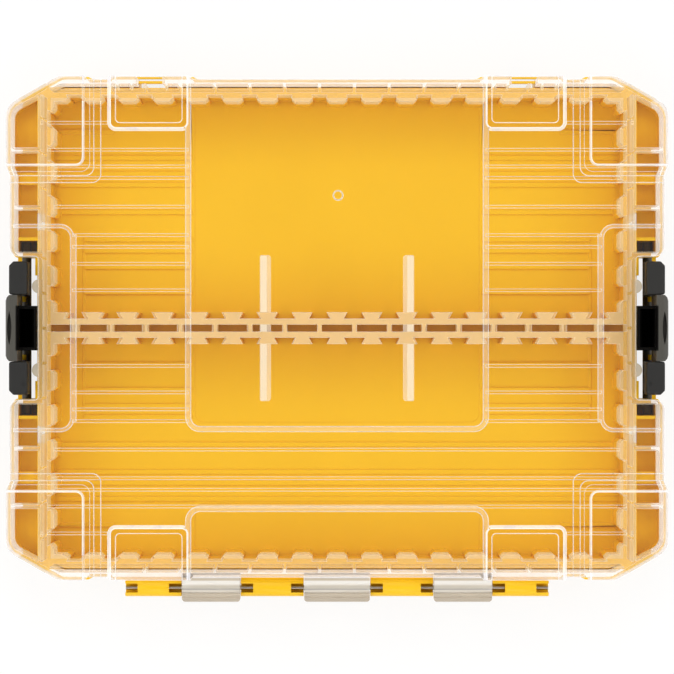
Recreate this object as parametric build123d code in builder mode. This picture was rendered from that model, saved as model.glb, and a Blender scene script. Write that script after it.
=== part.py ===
from build123d import *
import math
import os

os.makedirs("parts", exist_ok=True)

# The case lies flat: +X to its right, +Y away from the hinge, +Z up, origin at the middle of its bottom face.
# Sizes are in millimetres.

# Outside of the two halves
HALF_LENGTH = 150.6
HALF_DEPTH = 114.6
SHELL_HEIGHT = 28.0
PARTING_GAP = 0.2
WALL = 2.0
PLATE = 2.0

# Corner blocks, which stand proud of the sides and of the lid's top
BLOCK_PROUD_X = 1.6
BLOCK_PROUD_Y = 1.4
BLOCK_RISE = 1.0
BLOCK_LENGTH_X = 36.0
BLOCK_LENGTH_Y = 41.5
CORNER_CUT_X = 24.3
CORNER_CUT_Y = 13.9
CORNER_RADIUS = 8.0
BLOCK_SLOPE = 3.9
LID_JOG = 1.0
BASE_JOG = 3.0

# Frames near the corners of the front and back edges of the lid
FRAME_INNER_X = 67.4
FRAME_WIDTH = 38.2
FRAME_DEPTH = 25.4
FRAME_BAR = 3.8
FRAME_RADIUS = 4.0
FRAME_SLOPE = 60.0
BLOCK_EDGE_SLOPE = 42.0

# Recess in each side that holds a latch
RECESS_HALF_WIDTH = 33.0
RECESS_DEPTH = 13.1
BASE_SILL = 2.3
RECESS_MOUTH_RADIUS = 4.5
RECESS_ROOT_RADIUS = 1.5

# Rim of the base, just below the parting line
FLANGE_PROUD = 1.2
FLANGE_HEIGHT = 3.5

# Double walls
EDGE_HOLLOW = 2.55
SIDE_HOLLOW = 1.2
INNER_WALL = 2.6
SIDE_WALL = 1.8
SIDE_SKIN = 1.0
ROOF = 1.6
ROOF_DROP = 1.0
RIM_GROOVE = 0.45
SEAM = 0.5
WEB = 1.4
DOVETAIL_PITCH = 16.12
DOVETAIL_PROUD = 3.0
DOVETAIL_ROOT = 8.4
DOVETAIL_WAIST = 9.8
DOVETAIL_TIP = 6.4
SIDE_DOVETAIL_PROUD = 3.1

# Divider along the middle
DIVIDER_SLOT = 3.4
DIVIDER_WALL = 2.65
DIVIDER_WEB = 2.0
DIVIDER_TAIL_PROUD = 2.9
DIVIDER_TAIL_ROOT = 5.3
DIVIDER_TAIL_TIP = 9.3
DIVIDER_DROP = 8.0

# Floor, webs and a closed step in each side channel, as distances from the middle
CHANNEL_DROP = 9.0
CHANNEL_WEB = 1.6
CHANNEL_WEB_ROWS = (55.6, 82.3)
CHANNEL_STEP_NEAR = 67.0
CHANNEL_STEP_FAR = 72.6
CHANNEL_STEP_TOP = 5.0

# Thin ribs on the plates, as distances from the middle
RIB_WIDTH = 1.4
RIB_HEIGHT = 0.8
FLOOR_RIB_WIDTH = 2.0
FLOOR_RIB_HEIGHT = 1.0
FLOOR_SHARE = 0.982
FLOOR_LINE_HEIGHT = 0.4
INNER_RIB_ROWS = (17.4, 29.6, 37.4, 42.8)
OUTER_RIB_ROWS = (55.9, 69.1, 74.4, 82.1)
CORNER_RIB_ROW = 94.5
INNER_RIB_END = 121.8
SIDE_LINE_X = 120.7
CENTRE_PANEL_HALF = 68.4
CENTRE_PANEL_LOW = 46.4
FRONT_PANEL_TOP = 83.1

# Outlined panels on the lid
PANEL_LINE = 1.5
CENTRE_PANEL_LINE = 2.3
PANEL_LINE_HEIGHT = 0.5
PANEL_CORNER = 5.5
SIDE_PANEL_NEAR = 43.6
RECESS_PANEL_X = 121.7
RECESS_PANEL_Y = 46.9
GROOVE_STEPS = (7.6, 4.4, 2.4)
GROOVE_STEP_DEPTH = 0.35
GATE_MARK_RADIUS = 2.3
GATE_MARK_X = 0.5
GATE_MARK_Y = 61.0
GATE_MARK_HEIGHT = 0.3

# Two upright blades under the lid, each with a lower flange on its inner side
BLADE_X = 33.9
BLADE_THICK = 3.0
BLADE_HALF_LENGTH = 33.5
BLADE_DEPTH = 7.0
BLADE_FLANGE = 1.9
BLADE_FLANGE_DEPTH = 4.0
BLADE_RADIUS = 0.7

# Slots through the base, and the window boxes that the lid has under its rear frames
BAR_SLOT_X = 86.4
BAR_SLOT_LENGTH = 12.2
BAR_SLOTS = ((-2.4, -0.5), (0.7, 1.7))
SIDE_SLOT_NEAR = 45.6
SIDE_SLOT_LENGTH = 8.2
SIDE_SLOT_IN = 136.2
SIDE_SLOT_OUT = 140.4
WINDOW_BOXES = ((71.3, 79.1), (94.2, 101.6))
WINDOW_BOX_WALL = 1.0
WINDOW_BOX_DEPTH = 12.0

# Hinge
HINGE_SETBACK = 6.4
PIN_RADIUS = 1.0
PIN_CLEARANCE = 0.05
BASE_KNUCKLE_RADIUS = 4.0
LID_KNUCKLE_RADIUS = 6.6
KNUCKLE_RELIEF = 0.5
KNUCKLE_END_GAP = 0.3
KNUCKLE_EDGES = (15.4, 45.0, 72.3, 98.8)
KNUCKLE_ARM = 6.0
KNUCKLE_END_RADIUS = 1.6
KNUCKLE_GROOVE_RADIUS = 0.45
KNUCKLE_GROOVE_ANGLES = (56.0, 110.0, 129.0)
WINDOW_LENGTH = 5.8
WINDOW_WIDTH = 4.2
WINDOW_FLOOR = 2.6

# Latches
LATCH_AXIS_X = 145.8
LATCH_AXIS_Z = 14.0
BAR_RADIUS = 2.2
BAR_CLEARANCE = 0.06
BAR_HALF_LENGTH = 40.5
BAR_STOP_GAP = 0.3
BAR_STOP_WALL = 1.6
PULL_OUT = 152.9
PULL_IN = 147.3
PULL_HALF_WIDTH = 15.3
PULL_BOTTOM = 20.5
PULL_CORNER = 1.8
PULL_BEVEL = 0.9
PULL_TOP_BEVEL = 2.2
LATCH_TOP = 51.0
SCALLOP_HALF_LENGTH = 7.8
SCALLOP_NEAR = 150.0
SCALLOP_WIDTH = 2.1
SCALLOP_DEPTH = 5.0
POCKET_HALF_WIDTH = 10.3
POCKET_IN = 140.7
POCKET_OUT = 148.1
POCKET_NOSE_IN = 138.8
POCKET_NOSE_BOTTOM = 32.0
POCKET_TOP = 46.0
POCKET_BOTTOM = 12.2
POCKET_WALL = 1.2
POCKET_END_WALL = 1.4
WEB_PLATE = 2.0
WEB_PLATE_IN = 145.0
WEB_PLATE_NEAR = 16.8
WEB_PLATE_FAR = 29.3
WEB_PLATE_TOP = 46.0
PAD_IN = 142.5
PAD_OUT = 151.2
PAD_END = 30.8
PAD_BOTTOM = 17.0
PAD_GAP = 0.1
PAD_CORNER = 2.0
PAD_FILLET = 1.2
PAD_LEAN = 1.4
PAD_LEAN_DROP = 3.0
PAD_SLOT_CLEARANCE = 0.05
GATE_DIMPLE_RADIUS = 0.9
GATE_DIMPLE_DEPTH = 0.4
GATE_DIMPLE_X = 144.3
GATE_DIMPLE_Y = 25.7

# Rail and clips of the base in front of each latch bar
RAIL_IN = 144.8
RAIL_HEIGHT = 6.0
RAIL_STEP_IN = 147.8
RAIL_STEP_NEAR = 10.7
RAIL_STEP_FAR = 15.1
RAIL_STEP_HEIGHT = 11.0
CLIP_NEAR = 12.4
CLIP_WIDTH = 2.5
CLIP_WALL = 1.8
CLIP_GAP = 0.3

# Ledges of the base beside each latch
LEDGE_PROUD = 1.0
LEDGE_NEAR = 24.6
LEDGE_HEIGHT = 3.5

# Half-round keepers on the lid beside each latch
KEEPER_X = 138.8
KEEPER_RADIUS = 3.3
KEEPER_Y = 19.5
KEEPER_HEIGHT = 3.0

# Worked out from the sizes above
RIM_Z = SHELL_HEIGHT
LID_RIM_Z = SHELL_HEIGHT + PARTING_GAP
LID_TOP_Z = 2 * SHELL_HEIGHT
LID_PLATE_TOP_Z = LID_TOP_Z - BLOCK_RISE
LID_PLATE_Z = LID_PLATE_TOP_Z - PLATE
AXIS_Z = SHELL_HEIGHT + PARTING_GAP / 2
AXIS_Y = -HALF_DEPTH - HINGE_SETBACK
BLOCK_X = HALF_LENGTH + BLOCK_PROUD_X
BLOCK_Y = HALF_DEPTH + BLOCK_PROUD_Y
LID_RECESS_X = HALF_LENGTH - RECESS_DEPTH
BASE_RECESS_X = LID_RECESS_X + BASE_SILL
RING_Y = HALF_DEPTH - WALL - EDGE_HOLLOW
COMPARTMENT_Y = RING_Y - INNER_WALL
SIDE_SKIN_X = LID_RECESS_X - SIDE_SKIN - SIDE_HOLLOW
COMPARTMENT_X = SIDE_SKIN_X - SIDE_WALL
DIVIDER_Y = DIVIDER_SLOT / 2 + DIVIDER_WALL
BLOCK_EDGE_X = BLOCK_X - BLOCK_LENGTH_X
BLOCK_EDGE_Y = BLOCK_Y - BLOCK_LENGTH_Y
FRAME_OUTER_X = FRAME_INNER_X + FRAME_WIDTH
FRAME_MIDDLE_X = FRAME_INNER_X + FRAME_WIDTH / 2
PAD_START = PULL_HALF_WIDTH + PAD_GAP
BAR_STOP_END = BAR_HALF_LENGTH + BAR_STOP_GAP + BAR_STOP_WALL
ROOF_Z = RIM_Z - ROOF_DROP - ROOF
CHANNEL_Z = RIM_Z - CHANNEL_DROP - ROOF
DIVIDER_SLOT_Z = RIM_Z - DIVIDER_DROP - ROOF


def mirrored_pairs(x, y):
    """The four places that mirror one place about both centre lines."""
    return [(across * x, along * y) for across in (-1, 1) for along in (-1, 1)]


def all_round(quarter):
    """Corners of a whole outline, with a radius each, from those of its +X +Y quarter."""
    upper = [(-x, y, r) for x, y, r in quarter[::-1]] + quarter
    lower = [(-x, -y, r) for x, y, r in upper]
    return upper + lower


def outline_face(quarter):
    """Flat face inside an outline that is alike in its four quarters."""
    corners = all_round(quarter)
    with BuildSketch() as face:
        with BuildLine():
            FilletPolyline(*[(x, y) for x, y, r in corners], radius=[r for x, y, r in corners], close=True)
        make_face()
    return face.sketch


def shell_outline(recess_x, jog):
    """Outside of one half, with its corner blocks, frame blocks and latch recesses."""
    return outline_face(
        [
            (FRAME_INNER_X - jog, HALF_DEPTH, 0),
            (FRAME_INNER_X, BLOCK_Y, 0),
            (FRAME_OUTER_X - jog, BLOCK_Y, 0),
            (FRAME_OUTER_X, HALF_DEPTH, 0),
            (BLOCK_EDGE_X - jog, HALF_DEPTH, 0),
            (BLOCK_EDGE_X, BLOCK_Y, 0),
            (BLOCK_X - CORNER_CUT_X, BLOCK_Y, CORNER_RADIUS),
            (BLOCK_X, BLOCK_Y - CORNER_CUT_Y, CORNER_RADIUS),
            (BLOCK_X, BLOCK_EDGE_Y, 0),
            (HALF_LENGTH, BLOCK_EDGE_Y - BLOCK_SLOPE, 0),
            (HALF_LENGTH, RECESS_HALF_WIDTH, RECESS_MOUTH_RADIUS),
            (recess_x, RECESS_HALF_WIDTH, RECESS_ROOT_RADIUS),
        ]
    )


def hollow_outline(recess_x):
    """Inside of the outer wall of one half."""
    skin = outline_face(
        [
            (BLOCK_X - CORNER_CUT_X, HALF_DEPTH, CORNER_RADIUS),
            (BLOCK_X, BLOCK_Y - CORNER_CUT_Y, CORNER_RADIUS),
            (BLOCK_X, BLOCK_EDGE_Y, 0),
            (HALF_LENGTH, BLOCK_EDGE_Y - BLOCK_SLOPE, 0),
        ]
    )
    with BuildSketch() as hollow:
        add(skin)
        offset(amount=-WALL, kind=Kind.INTERSECTION)
        for side in (-1, 1):
            with Locations((side * (recess_x - WALL + BLOCK_X) / 2, 0)):
                Rectangle(
                    BLOCK_X - recess_x + WALL,
                    2 * (RECESS_HALF_WIDTH + WALL),
                    mode=Mode.SUBTRACT,
                )
    return hollow.sketch


def pitches(reach, shift=0.0):
    """Places one dovetail pitch apart, both ways from the middle, as far as reach."""
    count = math.floor((reach - shift) / DOVETAIL_PITCH)
    ahead = [shift + step * DOVETAIL_PITCH for step in range(count + 1)]
    behind = [-place for place in ahead if place > 0]
    return behind + ahead


def wall_layout(recess_x):
    """Plan of the inner walls, divider, webs and dovetails that both halves share."""
    half_pitch = DOVETAIL_PITCH / 2
    with BuildSketch() as layout:
        # Ring round the compartments, doubled at the two sides
        Rectangle(2 * recess_x, 2 * RING_Y)
        Rectangle(2 * (LID_RECESS_X - SIDE_SKIN), 2 * COMPARTMENT_Y, mode=Mode.SUBTRACT)
        for side in (-1, 1):
            with Locations((side * (COMPARTMENT_X + SIDE_WALL / 2), 0)):
                Rectangle(SIDE_WALL, 2 * RING_Y)
        # Webs across the double walls
        for side in (-1, 1):
            middle = side * (RING_Y + EDGE_HOLLOW / 2)
            with Locations(*[(x, middle) for x in pitches(BLOCK_EDGE_X, half_pitch)]):
                Rectangle(WEB, EDGE_HOLLOW + WALL)
        with Locations(
            *[(x * (SIDE_SKIN_X + SIDE_HOLLOW / 2), y) for y in pitches(COMPARTMENT_Y) for x in (-1, 1)]
        ):
            Rectangle(SIDE_HOLLOW + WALL, WEB)
        # Divider: two walls with a slot between them
        for side in (-1, 1):
            with Locations((0, side * (DIVIDER_SLOT + DIVIDER_WALL) / 2)):
                Rectangle(2 * COMPARTMENT_X + SIDE_WALL, DIVIDER_WALL)
        with Locations(*[(x, 0) for x in pitches(COMPARTMENT_X, half_pitch)]):
            Rectangle(DIVIDER_WEB, 2 * DIVIDER_Y - DIVIDER_WALL)
        # Dovetails on the divider
        for side in (-1, 1):
            with Locations(*[(x, side * DIVIDER_Y) for x in pitches(COMPARTMENT_X)]):
                Polygon(
                    (-DIVIDER_TAIL_ROOT / 2, -side * WEB / 2),
                    (DIVIDER_TAIL_ROOT / 2, -side * WEB / 2),
                    (DIVIDER_TAIL_TIP / 2, side * DIVIDER_TAIL_PROUD),
                    (-DIVIDER_TAIL_TIP / 2, side * DIVIDER_TAIL_PROUD),
                )
        # Dovetails on the front and back walls
        for side in (-1, 1):
            with Locations(*[(x, side * COMPARTMENT_Y) for x in pitches(COMPARTMENT_X)]):
                Polygon(
                    (-DOVETAIL_ROOT / 2, side * WEB / 2),
                    (DOVETAIL_ROOT / 2, side * WEB / 2),
                    (DOVETAIL_WAIST / 2, -side * DOVETAIL_PROUD / 2),
                    (DOVETAIL_TIP / 2, -side * DOVETAIL_PROUD),
                    (-DOVETAIL_TIP / 2, -side * DOVETAIL_PROUD),
                    (-DOVETAIL_WAIST / 2, -side * DOVETAIL_PROUD / 2),
                )
        # Dovetails on the side walls
        for side in (-1, 1):
            with Locations(*[(side * COMPARTMENT_X, y) for y in pitches(COMPARTMENT_Y, half_pitch)]):
                Polygon(
                    (side * WEB / 2, -DOVETAIL_ROOT / 2),
                    (side * WEB / 2, DOVETAIL_ROOT / 2),
                    (-side * SIDE_DOVETAIL_PROUD / 2, DOVETAIL_WAIST / 2),
                    (-side * SIDE_DOVETAIL_PROUD, DOVETAIL_TIP / 2),
                    (-side * SIDE_DOVETAIL_PROUD, -DOVETAIL_TIP / 2),
                    (-side * SIDE_DOVETAIL_PROUD / 2, -DOVETAIL_WAIST / 2),
                )
        # Webs across the side channels
        channel = BLOCK_X - LID_RECESS_X
        with Locations(
            *[
                (x * (LID_RECESS_X + channel / 2 - WALL / 2), y * row)
                for row in CHANNEL_WEB_ROWS
                for x in (-1, 1)
                for y in (-1, 1)
            ]
        ):
            Rectangle(channel, CHANNEL_WEB)
        add(shell_outline(recess_x, LID_JOG), mode=Mode.INTERSECT)
    return layout.sketch


def roof_plan():
    """Plan of the roofs over the double walls of the base, which leave a groove inside the outer wall."""
    with BuildSketch() as roof:
        add(hollow_outline(BASE_RECESS_X))
        offset(amount=-RIM_GROOVE, kind=Kind.INTERSECTION)
        Rectangle(2 * BASE_RECESS_X, 2 * BLOCK_Y, mode=Mode.INTERSECT)
        Rectangle(2 * (SIDE_SKIN_X - SEAM), 2 * (RING_Y - SEAM), mode=Mode.SUBTRACT)
    return roof.sketch


def channel_plan(growth):
    """Plan of the side channels of the base, grown into the walls round them."""
    with BuildSketch() as channel:
        add(hollow_outline(BASE_RECESS_X))
        Rectangle(2 * BASE_RECESS_X, 2 * BLOCK_Y, mode=Mode.SUBTRACT)
        Rectangle(2 * BLOCK_X, 2 * (BAR_STOP_END - SEAM), mode=Mode.SUBTRACT)
        if growth > 0:
            offset(amount=growth, kind=Kind.INTERSECTION)
    return channel.sketch


def underside_pockets():
    """Plan of the spaces inside the walls of the base, which open downwards."""
    with BuildSketch() as pockets:
        add(roof_plan())
        Rectangle(2 * COMPARTMENT_X, 2 * COMPARTMENT_Y, mode=Mode.SUBTRACT)
        add(channel_plan(0))
        Rectangle(2 * BLOCK_X, 2 * BAR_STOP_END, mode=Mode.SUBTRACT)
        with Locations(*[(side * (SIDE_SKIN_X + SIDE_HOLLOW / 2), 0) for side in (-1, 1)]):
            Rectangle(SIDE_HOLLOW, 2 * BAR_STOP_END)
        Rectangle(2 * COMPARTMENT_X, DIVIDER_SLOT)
        Rectangle(DOVETAIL_PITCH, DIVIDER_SLOT, mode=Mode.SUBTRACT)
        add(wall_layout(BASE_RECESS_X), mode=Mode.SUBTRACT)
    return pockets.sketch


def rib_layout(width, share=1.0):
    """Plan of the thin ribs that stiffen a plate, drawn in towards the middle by a share."""
    with BuildSketch() as ribs:
        for row in INNER_RIB_ROWS:
            length = INNER_RIB_END * share - CENTRE_PANEL_HALF
            with Locations(*mirrored_pairs(CENTRE_PANEL_HALF + length / 2, row * share)):
                Rectangle(length, width)
        for row in OUTER_RIB_ROWS:
            length = COMPARTMENT_X - CENTRE_PANEL_HALF
            with Locations(*[(x * (CENTRE_PANEL_HALF + length / 2), row * share) for x in (-1, 1)]):
                Rectangle(length, width)
            with Locations((0, -row * share)):
                Rectangle(2 * COMPARTMENT_X, width)
        length = LID_RECESS_X - FRAME_OUTER_X
        with Locations(*mirrored_pairs(FRAME_OUTER_X + length / 2, CORNER_RIB_ROW * share)):
            Rectangle(length, width)
    return ribs.sketch


def panel_line(x_low, x_high, y_low, y_high, width):
    """Outline of a rounded panel, with this line width."""
    with BuildSketch() as line:
        with Locations(((x_low + x_high) / 2, (y_low + y_high) / 2)):
            RectangleRounded(x_high - x_low + width, y_high - y_low + width, PANEL_CORNER + width / 2)
            RectangleRounded(
                x_high - x_low - width,
                y_high - y_low - width,
                PANEL_CORNER - width / 2,
                mode=Mode.SUBTRACT,
            )
    return line.sketch


def middle_panels(share=1.0):
    """Plan of the lines round the panels between the side walls, drawn in towards the middle by a share."""
    with BuildSketch() as panels:
        low = -CENTRE_PANEL_HALF
        high = CENTRE_PANEL_HALF
        add(panel_line(low, high, -CENTRE_PANEL_LOW * share, BLOCK_Y + PANEL_CORNER, CENTRE_PANEL_LINE))
        add(panel_line(low, high, -BLOCK_Y - PANEL_CORNER, -FRONT_PANEL_TOP * share, CENTRE_PANEL_LINE))
    return panels.sketch


def lid_panels():
    """Plan of the raised lines on the lid."""
    with BuildSketch() as panels:
        add(middle_panels())
        with Locations(*[(side * SIDE_LINE_X, 0) for side in (-1, 1)]):
            Rectangle(PANEL_LINE, 2 * INNER_RIB_ROWS[-1])
        for side in (-1, 1):
            low, high = sorted((side * RECESS_PANEL_X, side * (BLOCK_X + PANEL_CORNER)))
            add(panel_line(low, high, -RECESS_PANEL_Y, RECESS_PANEL_Y, PANEL_LINE))
        with Locations((GATE_MARK_X, GATE_MARK_Y)):
            Circle(GATE_MARK_RADIUS)
            Circle(GATE_MARK_RADIUS - GATE_MARK_HEIGHT, mode=Mode.SUBTRACT)
        Rectangle(2 * (HALF_LENGTH - WALL), 2 * (HALF_DEPTH - WALL), mode=Mode.INTERSECT)
    return panels.sketch


def floor_panels():
    """Plan of the raised lines on the floor of the base."""
    with BuildSketch() as panels:
        add(middle_panels(FLOOR_SHARE))
        for side in (-1, 1):
            low, high = sorted((side * CENTRE_PANEL_HALF, side * INNER_RIB_END * FLOOR_SHARE))
            reach = SIDE_PANEL_NEAR * FLOOR_SHARE
            add(panel_line(low, high, -reach, reach, PANEL_LINE))
        Rectangle(2 * COMPARTMENT_X, 2 * COMPARTMENT_Y, mode=Mode.INTERSECT)
    return panels.sketch


def corner_blocks(growth):
    """Plan of the raised blocks at the lid's corners, grown by the given width."""
    with BuildSketch() as blocks:
        reach_x = BLOCK_LENGTH_X + growth
        reach_y = BLOCK_LENGTH_Y + growth
        with Locations(
            *[
                (x * (BLOCK_X - reach_x / 2 + FRAME_RADIUS), y * (BLOCK_Y - reach_y / 2 + FRAME_RADIUS))
                for x in (-1, 1)
                for y in (-1, 1)
            ]
        ):
            RectangleRounded(reach_x + 2 * FRAME_RADIUS, reach_y + 2 * FRAME_RADIUS, FRAME_RADIUS)
    return blocks.sketch


def frame_layout(bar):
    """Plan of the four frames, or of what lies inside them where bar is the width that is left out."""
    with BuildSketch() as frames:
        depth = FRAME_DEPTH - bar
        with Locations(
            *[
                (x * FRAME_MIDDLE_X, y * (BLOCK_Y - depth / 2 + FRAME_RADIUS))
                for x in (-1, 1)
                for y in (-1, 1)
            ]
        ):
            RectangleRounded(
                FRAME_WIDTH - 2 * bar,
                depth + 2 * FRAME_RADIUS,
                FRAME_RADIUS if bar == 0 else FRAME_RADIUS / 2,
            )
    return frames.sketch


def knuckle_spans(first):
    """X ranges of every other hinge knuckle, with a running gap at each end."""
    edges = [-edge for edge in KNUCKLE_EDGES[::-1]] + list(KNUCKLE_EDGES)
    gap = KNUCKLE_END_GAP / 2
    return [(low + gap, high - gap) for low, high in list(zip(edges, edges[1:]))[first::2]]


def cross_plane(x):
    """Plane across the hinge at x, with its first direction along +Y and its second along +Z."""
    return Plane(origin=(x, AXIS_Y, AXIS_Z), x_dir=(0, 1, 0), z_dir=(1, 0, 0))


# Fittings of the base: what is added to its shell
with BuildPart() as base_fittings:
    # Ribs and panel lines on the floor
    with BuildSketch(Plane.XY.offset(PLATE)):
        add(rib_layout(FLOOR_RIB_WIDTH, FLOOR_SHARE))
    extrude(amount=FLOOR_RIB_HEIGHT)
    with BuildSketch(Plane.XY.offset(PLATE)):
        add(floor_panels())
    extrude(amount=FLOOR_LINE_HEIGHT)
    # Roofs over the double walls
    with BuildSketch(Plane.XY.offset(ROOF_Z)):
        add(roof_plan())
    extrude(amount=ROOF)
    # Floors of the side channels and of the slot in the divider
    with BuildSketch(Plane.XY.offset(CHANNEL_Z)):
        add(channel_plan(SEAM))
    extrude(amount=ROOF)
    with BuildSketch(Plane.XY.offset(DIVIDER_SLOT_Z)):
        Rectangle(2 * (COMPARTMENT_X + SEAM), DIVIDER_SLOT + 2 * SEAM)
    extrude(amount=ROOF)
    with BuildSketch(Plane.XY.offset(PLATE)):
        Rectangle(DOVETAIL_PITCH, DIVIDER_SLOT + 2 * SEAM)
    extrude(amount=DIVIDER_SLOT_Z - PLATE)
    # Closed steps in the side channels
    with BuildSketch(Plane.XY.offset(CHANNEL_Z)):
        step = CHANNEL_STEP_FAR - CHANNEL_STEP_NEAR
        width = HALF_LENGTH - LID_RECESS_X - WALL / 2
        with Locations(*mirrored_pairs(LID_RECESS_X + width / 2, CHANNEL_STEP_NEAR + step / 2)):
            Rectangle(width, step)
    extrude(amount=RIM_Z - CHANNEL_STEP_TOP - CHANNEL_Z)
    # Rail below each latch bar
    with BuildSketch():
        with Locations(*[(side * (RAIL_IN + HALF_LENGTH) / 2, 0) for side in (-1, 1)]):
            Rectangle(HALF_LENGTH - RAIL_IN, 2 * (RECESS_HALF_WIDTH + WALL))
    extrude(amount=RAIL_HEIGHT)
    with BuildSketch():
        middle = (RAIL_STEP_NEAR + RAIL_STEP_FAR) / 2
        with Locations(*mirrored_pairs((RAIL_STEP_IN + HALF_LENGTH) / 2, middle)):
            Rectangle(HALF_LENGTH - RAIL_STEP_IN, RAIL_STEP_FAR - RAIL_STEP_NEAR)
    extrude(amount=RAIL_STEP_HEIGHT)
    # Ledges that stand out from the sills
    with BuildSketch(Plane.XY.offset(RIM_Z - LEDGE_HEIGHT)):
        length = RECESS_HALF_WIDTH + SEAM - LEDGE_NEAR
        with Locations(*mirrored_pairs(BASE_RECESS_X + (LEDGE_PROUD - SEAM) / 2, LEDGE_NEAR + length / 2)):
            Rectangle(LEDGE_PROUD + SEAM, length)
    extrude(amount=LEDGE_HEIGHT)
    # Walls that the ends of the latch bars stop against
    with BuildSketch(Plane.XY.offset(PLATE)):
        stop = BAR_HALF_LENGTH + BAR_STOP_GAP + BAR_STOP_WALL / 2
        width = HALF_LENGTH - LID_RECESS_X
        with Locations(*mirrored_pairs(LID_RECESS_X + width / 2, stop)):
            Rectangle(width, BAR_STOP_WALL)
    extrude(amount=RIM_Z - PLATE)
    # Clips that hook over each latch bar
    for end in (-1, 1):
        with BuildSketch(Plane.XZ.offset(-end * (CLIP_NEAR + CLIP_WIDTH / 2))) as clip:
            reach = BAR_RADIUS + CLIP_GAP + CLIP_WALL
            for side in (-1, 1):
                with Locations((side * LATCH_AXIS_X, LATCH_AXIS_Z)):
                    Circle(reach)
                with Locations((side * (LATCH_AXIS_X + reach / 2), (RAIL_HEIGHT + LATCH_AXIS_Z) / 2)):
                    Rectangle(reach, LATCH_AXIS_Z - RAIL_HEIGHT + WALL)
                with Locations((side * LATCH_AXIS_X, LATCH_AXIS_Z)):
                    Circle(BAR_RADIUS + CLIP_GAP, mode=Mode.SUBTRACT)
                with Locations((side * (LATCH_AXIS_X - reach), LATCH_AXIS_Z)):
                    Rectangle(2 * reach, 3 * reach, mode=Mode.SUBTRACT)
        extrude(clip.sketch, amount=CLIP_WIDTH / 2, both=True)
    # Hinge knuckles, with a window over the pin at each end
    for low, high in knuckle_spans(0):
        with BuildSketch(cross_plane(low)) as knuckle:
            Circle(BASE_KNUCKLE_RADIUS)
            with Locations(((HINGE_SETBACK + WALL / 2) / 2, -PARTING_GAP / 2 - KNUCKLE_ARM / 2)):
                Rectangle(HINGE_SETBACK + WALL / 2, KNUCKLE_ARM)
            Circle(PIN_RADIUS + PIN_CLEARANCE, mode=Mode.SUBTRACT)
        extrude(knuckle.sketch, amount=high - low)
        for start in (low, high - WINDOW_LENGTH):
            with BuildSketch(cross_plane(start)) as window:
                with Locations((0, (BASE_KNUCKLE_RADIUS - WINDOW_FLOOR) / 2 + WALL / 2)):
                    Rectangle(WINDOW_WIDTH, BASE_KNUCKLE_RADIUS + WINDOW_FLOOR + WALL)
            extrude(window.sketch, amount=WINDOW_LENGTH, mode=Mode.SUBTRACT)

# Cuts in the base's shell
with BuildPart() as base_cuts:
    # Bores for the ends of the latch bars
    with BuildSketch(Plane.XZ) as bores:
        with Locations(*[(side * LATCH_AXIS_X, LATCH_AXIS_Z) for side in (-1, 1)]):
            Circle(BAR_RADIUS + BAR_CLEARANCE)
    extrude(bores.sketch, amount=BAR_HALF_LENGTH + BAR_STOP_GAP, both=True)
    # Pockets under the double walls
    with BuildSketch():
        add(underside_pockets())
    extrude(amount=PLATE)
    # Room for the lid's knuckles
    for low, high in knuckle_spans(1):
        with BuildSketch(cross_plane(low - KNUCKLE_RELIEF)) as relief:
            Circle(LID_KNUCKLE_RADIUS + KNUCKLE_RELIEF)
        extrude(relief.sketch, amount=high - low + 2 * KNUCKLE_RELIEF)

# Base: a tray with doubled walls, a divider, the latch rails and every other hinge knuckle
with BuildPart() as base_tray:
    with BuildSketch():
        add(shell_outline(BASE_RECESS_X, BASE_JOG))
    extrude(amount=PLATE)
    # Rim that stands out below the parting line
    with BuildSketch(Plane.XY.offset(RIM_Z - FLANGE_HEIGHT)):
        add(shell_outline(BASE_RECESS_X, BASE_JOG))
        offset(amount=FLANGE_PROUD, kind=Kind.INTERSECTION)
        add(hollow_outline(BASE_RECESS_X), mode=Mode.SUBTRACT)
        with Locations(*[(side * (BASE_RECESS_X + BLOCK_X) / 2, 0) for side in (-1, 1)]):
            Rectangle(BLOCK_X - BASE_RECESS_X, 2 * RECESS_HALF_WIDTH, mode=Mode.SUBTRACT)
    extrude(amount=FLANGE_HEIGHT)
    with BuildSketch(Plane.XY.offset(PLATE)):
        add(shell_outline(BASE_RECESS_X, BASE_JOG))
        add(hollow_outline(BASE_RECESS_X), mode=Mode.SUBTRACT)
        add(wall_layout(BASE_RECESS_X))
    extrude(amount=RIM_Z - PLATE)
    add(base_cuts.part, mode=Mode.SUBTRACT)
    add(base_fittings.part)
    # Slots right through the rear wall and the side walls
    with BuildSketch():
        near, far = BAR_SLOTS[0][0], 2 * BAR_SLOTS[-1][-1]
        with Locations(*[(side * BAR_SLOT_X, HALF_DEPTH + (near + far) / 2) for side in (-1, 1)]):
            Rectangle(BAR_SLOT_LENGTH, far - near)
    extrude(amount=RIM_Z - FLANGE_HEIGHT, mode=Mode.SUBTRACT)
    with BuildSketch():
        for near, far in BAR_SLOTS:
            with Locations(*[(side * BAR_SLOT_X, HALF_DEPTH + (near + far) / 2) for side in (-1, 1)]):
                Rectangle(BAR_SLOT_LENGTH, far - near)
        middle = (SIDE_SLOT_IN + SIDE_SLOT_OUT) / 2
        with Locations(*mirrored_pairs(middle, SIDE_SLOT_NEAR + SIDE_SLOT_LENGTH / 2)):
            Rectangle(SIDE_SLOT_OUT - SIDE_SLOT_IN, SIDE_SLOT_LENGTH)
    extrude(amount=RIM_Z, mode=Mode.SUBTRACT)
base_tray.part.label = "base_tray"
export_step(base_tray.part, "parts/base_tray.step")

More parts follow.
